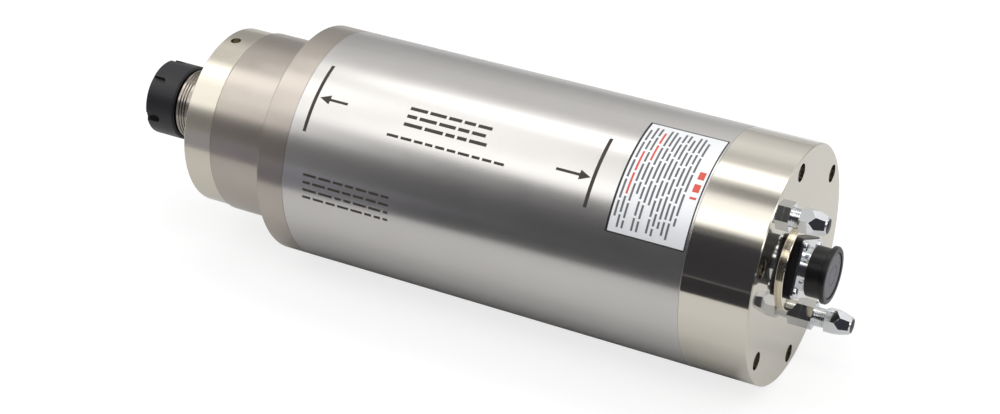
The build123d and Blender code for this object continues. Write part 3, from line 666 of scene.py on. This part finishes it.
def helix(bm, x_start, x_end, centre):
    """A triangular ridge wound around an axis parallel to X."""
    steps = round((x_end - x_start - THREAD_PITCH) / THREAD_PITCH * THREAD_STEPS)
    rings = []
    for k in range(steps + 1):
        angle = 2 * pi * k / THREAD_STEPS
        x = x_start + THREAD_PITCH * k / THREAD_STEPS
        corners = [
            (x, THREAD_ROOT),
            (x + THREAD_PITCH / 2, THREAD_CREST),
            (x + THREAD_PITCH * THREAD_FLANK, THREAD_ROOT),
        ]
        rings.append([
            bm.verts.new((cx, centre[0] + r * cos(angle), centre[1] + r * sin(angle))) for cx, r in corners
        ])
    for near, far in zip(rings, rings[1:]):
        for k in range(3):
            bm.faces.new((near[k], near[(k + 1) % 3], far[(k + 1) % 3], far[k]))
    bm.faces.new(rings[0])
    bm.faces.new(rings[-1])


def middle_of(name):
    """The (y, z) of a piece's middle."""
    low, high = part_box(name)
    return (low[1] + high[1]) / 2, (low[2] + high[2]) / 2


for side, hexagon in THREADS.items():
    name = f"{side}_tube_nut"
    x_start = REAR_FACE + hexagon
    x_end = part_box(name)[0][0]
    make_piece(
        f"{side}_thread",
        lambda bm: helix(bm, x_start, x_end, middle_of(name)),
        chrome_plate,
    )
print("threads of", THREAD_PITCH / MM, "mm pitch")

# %% [markdown]
# ## Rings of points
# The remaining pieces are round or six-sided. Each is a row of rings of points across the axis, joined by
# faces from one ring to the next. `fan` is for the places where a hexagon meets a circle.

# %% Circles, hexagons and what joins them
def circle(bm, x, radius, centre, spokes):
    """The points of a circle across the axis."""
    turns = [2 * pi * j / spokes for j in range(spokes)]
    return [bm.verts.new((x, centre[0] + radius * cos(t), centre[1] + radius * sin(t))) for t in turns]


def join_rings(bm, near, far, slot=0):
    """Faces between two circles of as many points."""
    for j in range(len(near)):
        after = (j + 1) % len(near)
        bm.faces.new((near[j], near[after], far[after], far[j])).material_index = slot


def six(bm, x, radius, turn, centre):
    """Six corners across the axis, the first at turn degrees."""
    turns = [radians(turn + 60 * k) for k in range(6)]
    return [bm.verts.new((x, centre[0] + radius * cos(t), centre[1] + radius * sin(t))) for t in turns]


def fan(bm, corners, ring, turn):
    """Faces from six corners to a circle; each side takes its sixth of the circle."""
    count = len(ring) // 6
    first = round(turn / 360 * len(ring))
    for k in range(6):
        part = [ring[(first + count * k + j) % len(ring)] for j in range(count + 1)]
        bm.faces.new((corners[k], corners[(k + 1) % 6], *reversed(part)))


print("a hexagon's corners stand", 360 / 6, "degrees apart")

# %% [markdown]
# ## The tube nuts
# Each tube nut starts as a plain hexagon and ends as a slimmer one turned by half a side, so six pointed
# facets reach back between the first six. Two crossed hexagonal cones could be cut from one another, but
# the flats meet only at corners and at the middle of each side, which cuts seldom hit cleanly. So the
# shape is built face by face: a five-sided flat, a triangle and a long flat for each of the six sides.
# Then a round rim closes the end, and stepped rings give the inside. The bore's wall is a dull grey.

# %% Tube nuts
NUT_CORNER = 7.0 * MM
NUT_TURN = 33.3
NUT_STRAIGHT = 5.0 * MM
NUT_POINT = 7.75 * MM
NUT_FLATS_END = 12.55 * MM
NUT_LENGTH = 13.3 * MM
NUT_NOSE_CORNER = 4.7 * MM
NUT_RIM = 4.5 * MM
NUT_RIM_WIDTH = 0.6 * MM
NUT_MOUTH = 3.85 * MM
NUT_SPOKES = 48
# Stations of the inside as (back from the tip, radius) in mm.
NUT_INSIDE = [(-0.8, 3.1), (-3.2, 3.1), (-3.2, 4.0), (-6.4, 4.0), (-6.4, 4.96), (-13.3, 4.96)]


def faceted_nut(bm, x, centre, turn):
    """One tube nut from its open end at x to its tip."""
    tip = x + NUT_LENGTH
    base = six(bm, x, NUT_CORNER, turn, centre)
    points = six(bm, x + NUT_STRAIGHT, NUT_CORNER, turn, centre)
    shoulders = six(bm, x + NUT_POINT, NUT_CORNER * cos(pi / 6), turn + 30, centre)
    ends = six(bm, x + NUT_FLATS_END, NUT_NOSE_CORNER, turn + 30, centre)
    for k in range(6):
        after = (k + 1) % 6
        bm.faces.new((base[k], base[after], points[after], shoulders[k], points[k]))
        bm.faces.new((shoulders[k], points[after], shoulders[after]))
        bm.faces.new((shoulders[k], shoulders[after], ends[after], ends[k]))
    rim = circle(bm, x + NUT_FLATS_END, NUT_RIM, centre, NUT_SPOKES)
    fan(bm, ends, rim, turn + 30)
    edge = circle(bm, tip - NUT_RIM_WIDTH, NUT_RIM, centre, NUT_SPOKES)
    join_rings(bm, rim, edge)
    ring = circle(bm, tip, NUT_MOUTH, centre, NUT_SPOKES)
    join_rings(bm, edge, ring)
    for back, radius in NUT_INSIDE:
        inner = circle(bm, tip + back * MM, radius * MM, centre, NUT_SPOKES)
        join_rings(bm, ring, inner, slot=1)
        ring = inner
    fan(bm, base, ring, turn)


for side in THREADS:
    name = f"{side}_tube_nut"
    nut = make_piece(
        f"{side}_nut_facets",
        lambda bm: faceted_nut(bm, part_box(name)[0][0], middle_of(name), NUT_TURN),
        chrome_plate,
        body=name,
    )
    nut.data.materials.append(bore_grey)
    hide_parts(name)
print("tube nuts with", NUT_SPOKES, "points around each rim")

# %% [markdown]
# ## The socket's screws
# The four small screws of the power socket have domed heads with a cross. Each head is a disc of rings
# whose height follows the dome, less the cross where a ring crosses it. That needs no boolean cut, and
# the many small faces give the cross soft edges, as a stamped one has. `HEAD_RIM` is the share of the
# height that stands at the rim, and `HEAD_CURVE` how late the dome falls off.

# %% Domed cross-head screws
HEAD_RADIUS = 2.6 * MM
HEAD_HEIGHT = 1.4 * MM
HEAD_RIM = 0.35
HEAD_CURVE = 3.2
CROSS_HALF = 0.36 * MM
CROSS_REACH = 1.5 * MM
CROSS_DEPTH = 0.9 * MM
HEAD_RINGS = 26
HEAD_SPOKES = 96


def head_height(radius, angle):
    """The height of a domed head above its seat, with the cross sunk into it."""
    share = radius / HEAD_RADIUS
    dome = HEAD_HEIGHT * (HEAD_RIM + (1 - HEAD_RIM) * (1 - share ** HEAD_CURVE) ** 0.5)
    across = min(abs(radius * sin(angle)), abs(radius * cos(angle)))
    along = max(abs(radius * sin(angle)), abs(radius * cos(angle)))
    if across < CROSS_HALF and along < CROSS_REACH:
        return dome - CROSS_DEPTH * (1 - 0.5 * along / CROSS_REACH)
    return dome


def domed_head(bm, seat, y, z, twist):
    """One screw head on the plane x = seat."""
    tip = bm.verts.new((seat + head_height(0.0, 0.0), y, z))
    turns = [2 * pi * j / HEAD_SPOKES for j in range(HEAD_SPOKES)]
    rings = []
    for k in range(1, HEAD_RINGS + 1):
        radius = HEAD_RADIUS * k / HEAD_RINGS
        places = [(y + radius * cos(t + twist), z + radius * sin(t + twist)) for t in turns]
        rings.append([
            bm.verts.new((seat + head_height(radius, t), *place)) for t, place in zip(turns, places)
        ])
    rings.append([bm.verts.new((seat, v.co.y, v.co.z)) for v in rings[-1]])
    for j in range(HEAD_SPOKES):
        after = (j + 1) % HEAD_SPOKES
        bm.faces.new((tip, rings[0][j], rings[0][after]))
        for near, far in zip(rings, rings[1:]):
            bm.faces.new((near[j], near[after], far[after], far[j]))
    bm.faces.new(rings[-1])


print("a head has", HEAD_RINGS * HEAD_SPOKES, "points on its dome")

# %% [markdown]
# ## The boss, the four heads and the cap's disc
# The nickel boss under the socket has two fine grooves around its edge, and the rubber cap carries a dull
# grey disc with a ring in its sunken middle. Both are turned shapes, so each is a row of stations, given
# as (distance along the axis, radius) in millimetres and spun around the axis. Screws are never driven to
# the same angle, so each head is twisted a little further than the last.

# %% Boss, screw heads and cap disc
SCREW_CIRCLE = 16.5 * MM
SCREW_TURN = 107.0
SCREW_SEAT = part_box("socket_screws")[1][0] - HEAD_HEIGHT
FIRST_TWIST = 0.3
NEXT_TWIST = 0.9
TURNED_SPOKES = 144
BOSS_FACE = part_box("socket_boss")[1][0]
BOSS_GROOVES = [
    (0.0, 22.7), (-0.3, 23.0), (-0.55, 23.0), (-0.62, 22.75), (-0.78, 22.75), (-0.85, 23.0),
    (-1.25, 23.0), (-1.32, 22.75), (-1.48, 22.75), (-1.55, 23.0), (-2.1, 23.0), (-2.1, 11.4), (0.0, 11.4),
]
CAP_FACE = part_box("dust_cap")[1][0] - 0.8 * MM
CAP_DISC = [
    (0.0, 11.6), (0.3, 11.4), (0.3, 5.6), (0.05, 5.4), (0.05, 4.9), (0.3, 4.7), (0.3, 0.01), (0.0, 0.01),
]


def socket_heads(bm):
    """Four screw heads on their circle, each twisted further than the last."""
    for k in range(4):
        angle = radians(SCREW_TURN + 90.0 * k)
        y, z = SCREW_CIRCLE * cos(angle), SCREW_CIRCLE * sin(angle)
        domed_head(bm, SCREW_SEAT, y, z, FIRST_TWIST + NEXT_TWIST * k)


def turned(bm, face, stations):
    """A ring turned about the axis from a closed row of stations."""
    rings = [circle(bm, face + x * MM, radius * MM, (0.0, 0.0), TURNED_SPOKES) for x, radius in stations]
    for near, far in zip(rings, rings[1:] + rings[:1]):
        join_rings(bm, near, far)


boss = make_piece(
    "grooved_boss", lambda bm: turned(bm, BOSS_FACE, BOSS_GROOVES), mirror_nickel,
)
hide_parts("socket_boss")
heads = make_piece("socket_screw_heads", socket_heads, chrome_plate)
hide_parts("socket_screws")
make_piece("cap_disc", lambda bm: turned(bm, CAP_FACE, CAP_DISC), cap_disc_grey, body="dust_cap")
print("a grooved boss, four domed heads and a disc at", round(CAP_FACE / MM, 1), "mm")

# %% [markdown]
# ## The room around the spindle
# Polished metal shows whatever stands around it, so the room matters more than the lamps. The world here
# is a studio seen from the spindle: the dark half of a room in front, a soft box above it, another
# overhead and a lit wall behind. It is drawn as light levels by the angle around the spindle's axis, so
# each box becomes one straight band of light on the body. An image of a real studio could do this too,
# but a drawn one needs no file and each box can be moved by one number. An angle of 0 looks to the near
# side, 90 up and 180 to the far side, and a level of 1 is white paper.
#
# One drawing is not enough. In perspective the nose of a long cylinder mirrors a different part of the
# room than its rear does. So there are two drawings, one for directions towards the nose and one for all
# others, and a row of shares that dims or lifts the light in the part that only the end cap mirrors.

# %% Light levels around the axis
ROOM_MIDDLE = [
    (-180, 0.76), (-1, 0.76), (0, 0.042), (33, 0.040), (39, 0.05), (44.6, 0.36), (50, 1.95), (56, 2.30),
    (63, 1.90), (69, 1.60), (77, 1.60), (82, 1.70), (89, 1.75), (95, 1.90), (101, 3.00), (108, 2.90),
    (112, 1.80), (117, 0.95), (125, 0.76), (135, 0.88), (145, 0.82), (155, 0.68), (165, 0.56),
    (174, 0.45), (180, 0.45),
]
ROOM_NOSE = [
    (-180, 0.76), (-1, 0.76), (0, 0.36), (13, 0.27), (21, 0.28), (29, 0.60), (34, 1.70), (40, 1.80),
    (45, 1.60), (61, 1.40), (69, 1.70), (77, 2.40), (83, 2.50), (89, 2.30), (94, 1.40), (100, 0.68),
    (109, 0.62), (117, 0.80), (125, 0.95), (135, 0.74), (145, 0.50), (160, 0.42), (180, 0.42),
]
CAP_SHARES = [
    (-180, 1.15), (-1, 1.15), (20, 1.0), (39, 1.0), (45, 0.55), (51, 0.9), (56, 1.0), (72, 1.0),
    (77, 0.75), (82, 0.32), (85, 0.24), (89, 0.22), (93, 0.42), (97, 0.72), (101, 1.0), (130, 1.05),
    (145, 1.28), (165, 1.35), (180, 1.3),
]
BRIGHTEST = max(level for _, level in ROOM_MIDDLE + ROOM_NOSE)
print("rooms of", len(ROOM_MIDDLE), "and", len(ROOM_NOSE), "levels, the brightest", BRIGHTEST)

# %% [markdown]
# ## Levels as a colour ramp
# A ray's direction gives the angle around the axis, and a colour ramp turns that angle into a level. The
# darkest levels get a little more blue, as the unlit half of a room has. A ramp in a new node starts with
# two stops, so `fill_ramp` adds the missing ones and then sets them all.

# %% The angle around the axis
DARK_LEVEL = 0.1
DARK_BLUE = 1.2

world = bpy.data.worlds.new("studio")
world.use_nodes = True
bpy.context.scene.world = world
sky = world.node_tree
sky.nodes.clear()
way = add(sky, "ShaderNodeSeparateXYZ", {0: add(sky, "ShaderNodeTexCoord").outputs["Generated"]})
nearwards = add(sky, "ShaderNodeMath", {0: way.outputs["Y"], 1: -1.0}, operation="MULTIPLY")
around = add(sky, "ShaderNodeMath", {0: way.outputs["Z"], 1: nearwards.outputs[0]}, operation="ARCTAN2")
turn = add(sky, "ShaderNodeMapRange", {"Value": around.outputs[0], "From Min": -pi, "From Max": pi})


def fill_ramp(ramp, stops):
    """Give a colour ramp its stops, each as (position, red, green, blue)."""
    elements = ramp.color_ramp.elements
    while len(elements) < len(stops):
        elements.new(1.0)
    for element, (position, *rgb) in zip(elements, stops):
        element.position = position
        element.color = [*rgb, 1.0]


def room_ramp(levels, full):
    """The colours of a room around the axis, as shares of the full level."""
    ramp = add(sky, "ShaderNodeValToRGB", {"Fac": turn.outputs["Result"]})
    stops = []
    for degrees, level in levels:
        blue = DARK_BLUE if level < DARK_LEVEL else 1.0
        stops.append(((degrees + 180) / 360, level / full, level / full, blue * level / full))
    fill_ramp(ramp, stops)
    return ramp.outputs["Color"]


print("levels below", DARK_LEVEL, "get", DARK_BLUE, "times the blue")

# %% [markdown]
# ## The world
# How far a ray runs along the axis decides which drawing it sees. Metal sees the room, and the camera sees
# a plain white backdrop in its place, so that every view has the same clean background.

# %% Blend the rooms and add the backdrop
NOSE_FROM = -0.455
NOSE_FULL = -0.49
CAP_FROM = -0.335
CAP_FULL = -0.32

towards_nose = add(sky, "ShaderNodeMapRange", {
    "Value": way.outputs["X"], "From Min": NOSE_FROM, "From Max": NOSE_FULL,
})
room = add(sky, "ShaderNodeMix", {
    "Factor": towards_nose.outputs["Result"],
    6: room_ramp(ROOM_MIDDLE, BRIGHTEST),
    7: room_ramp(ROOM_NOSE, BRIGHTEST),
}, data_type="RGBA")
towards_cap = add(sky, "ShaderNodeMapRange", {
    "Value": way.outputs["X"], "From Min": CAP_FROM, "From Max": CAP_FULL,
})
whole_room = add(sky, "ShaderNodeMix", {
    "Factor": towards_cap.outputs["Result"], 6: room.outputs[2], 7: room_ramp(CAP_SHARES, 1.0),
}, data_type="RGBA", blend_type="MULTIPLY")
glow = add(sky, "ShaderNodeBackground", {"Color": whole_room.outputs[2], "Strength": BRIGHTEST})
backdrop = add(sky, "ShaderNodeBackground", {"Color": colour("#FFFFFF"), "Strength": 1.0})
sight = add(sky, "ShaderNodeLightPath")
looked_at = add(sky, "ShaderNodeMath", {
    0: sight.outputs["Is Camera Ray"], 1: sight.outputs["Is Transmission Ray"],
}, operation="MAXIMUM")
either = add(sky, "ShaderNodeMixShader", {
    0: looked_at.outputs[0], 1: glow.outputs[0], 2: backdrop.outputs[0],
})
add(sky, "ShaderNodeOutputWorld", {"Surface": either.outputs[0]})
print("the nose's room starts at", NOSE_FROM, "along the axis and the end cap's at", CAP_FROM)

# %% [markdown]
# ## The table
# The spindle lies on a plain white table. To the camera the table glows a little, so that it stays white,
# and the rest of it is matt and takes the spindle's soft shadow. Metal mirrors the table too.
# `TABLE_MIRROR` gives its level there by the distance aside from the spindle in metres: dark close by,
# where the body keeps the light off, and paler further out. Past the body's ends that distance grows
# faster, because light reaches the table there from the end. A lamp under the table would lighten it as
# well, but it would also light the spindle.

# %% Table
FLOOR_SIZE = 6.0
FLOOR_GAP = 0.2 * MM
TABLE_MIRROR = [(0.045, 0.0), (0.060, 0.28), (0.085, 0.47), (0.150, 0.62), (0.40, 0.55), (1.0, 0.15)]
END_STEEPNESS = 4.0
END_START = 0.48
TABLE_GLOW = 1.08
GLOW_SEEN = 0.72
GLOW_MIRRORED = 0.45


def flat_piece(name, corners, z, material):
    """A flat face that is part of the studio."""
    mesh = bpy.data.meshes.new(name)
    mesh.from_pydata([(x, y, z) for x, y in corners], [], [list(range(len(corners)))])
    mesh.materials.append(material)
    piece = bpy.data.objects.new(name, mesh)
    bpy.context.scene.collection.objects.link(piece)
    return piece


table_white, tree, output = new_material("table_white")
light_path = add(tree, "ShaderNodeLightPath")
looked_at = add(tree, "ShaderNodeMath", {
    0: light_path.outputs["Is Camera Ray"], 1: light_path.outputs["Is Transmission Ray"],
}, operation="MAXIMUM")
matt = add(tree, "ShaderNodeBsdfDiffuse", {"Color": colour("#F2F2F2")})
spot = add(tree, "ShaderNodeSeparateXYZ", {0: add(tree, "ShaderNodeTexCoord").outputs["Object"]})
beside = add(tree, "ShaderNodeMath", {0: spot.outputs["Y"]}, operation="ABSOLUTE")
along = add(tree, "ShaderNodeMath", {0: spot.outputs["X"]}, operation="ABSOLUTE")
beyond = add(tree, "ShaderNodeMath", {
    0: along.outputs[0], 1: END_STEEPNESS, 2: -END_START,
}, operation="MULTIPLY_ADD")
aside = add(tree, "ShaderNodeMath", {0: beside.outputs[0], 1: beyond.outputs[0]}, operation="MAXIMUM")
gloom = add(tree, "ShaderNodeValToRGB", {0: aside.outputs[0]})
fill_ramp(gloom, [(distance, level, level, level) for distance, level in TABLE_MIRROR])
seen = add(tree, "ShaderNodeMix", {
    "Factor": looked_at.outputs[0], 6: gloom.outputs["Color"], 7: colour("#FFFFFF"),
}, data_type="RGBA")
paper = add(tree, "ShaderNodeEmission", {"Color": seen.outputs[2], "Strength": TABLE_GLOW})
mirrored = add(tree, "ShaderNodeMath", {
    0: light_path.outputs["Is Glossy Ray"], 1: GLOW_MIRRORED,
}, operation="MULTIPLY")
share = add(tree, "ShaderNodeMath", {
    0: looked_at.outputs[0], 1: GLOW_SEEN, 2: mirrored.outputs[0],
}, operation="MULTIPLY_ADD")
blend = add(tree, "ShaderNodeMixShader", {0: share.outputs[0], 1: matt.outputs[0], 2: paper.outputs[0]})
tree.links.new(blend.outputs[0], output.inputs["Surface"])

table_corners = [
    (-FLOOR_SIZE, -FLOOR_SIZE), (FLOOR_SIZE, -FLOOR_SIZE),
    (FLOOR_SIZE, FLOOR_SIZE), (-FLOOR_SIZE, FLOOR_SIZE),
]
flat_piece("floor", table_corners, FLOOR_HEIGHT - FLOOR_GAP, table_white)
print("table at", round(FLOOR_HEIGHT / MM, 2), "mm")

# %% [markdown]
# ## The flag
# A flag is a dark card that puts darkness into a reflection. This one lies just above the table in front
# of the spindle and gives the body its dark lower band. It is hidden from the camera and casts no shadow.
# Its edge runs nearer to the spindle at the nose than at the rear, and its nose end is pale, because the
# dark band fades out along the neck. A gradient on one card does that with fewer pieces than two cards.

# %% Flag
FLAG_NEAR_NOSE = -0.20
FLAG_NEAR_REAR = -0.31
SLANT_FROM = -0.21
SLANT_TO = 0.043
FLAG_PALE = 0.449
FLAG_DARK = 0.0415
FADE_TURN = -0.45
FADE_FROM = -0.20
FADE_TO = 0.0

flag_cloth, tree, output = new_material("flag_cloth")
spot = add(tree, "ShaderNodeSeparateXYZ", {0: add(tree, "ShaderNodeTexCoord").outputs["Object"]})
along = add(tree, "ShaderNodeMath", {
    0: spot.outputs["Y"], 1: FADE_TURN, 2: spot.outputs["X"],
}, operation="MULTIPLY_ADD")
shade = add(tree, "ShaderNodeMapRange", {
    "Value": along.outputs[0], "From Min": FADE_FROM, "From Max": FADE_TO,
    "To Min": FLAG_PALE, "To Max": FLAG_DARK,
})
cloth = add(tree, "ShaderNodeEmission", {"Color": colour("#EFEFFF"), "Strength": shade.outputs["Result"]})
tree.links.new(cloth.outputs[0], output.inputs["Surface"])

flag_corners = [
    (-FLOOR_SIZE, -FLOOR_SIZE), (FLOOR_SIZE, -FLOOR_SIZE), (FLOOR_SIZE, FLAG_NEAR_REAR),
    (SLANT_TO, FLAG_NEAR_REAR), (SLANT_FROM, FLAG_NEAR_NOSE), (-FLOOR_SIZE, FLAG_NEAR_NOSE),
]
flag = flat_piece("flag", flag_corners, FLOOR_HEIGHT + 2 * FLOOR_GAP, flag_cloth)
flag.visible_camera = False
flag.visible_diffuse = False
flag.visible_transmission = False
flag.visible_shadow = False
print("the flag's edge runs from", FLAG_NEAR_NOSE, "to", FLAG_NEAR_REAR, "m aside")
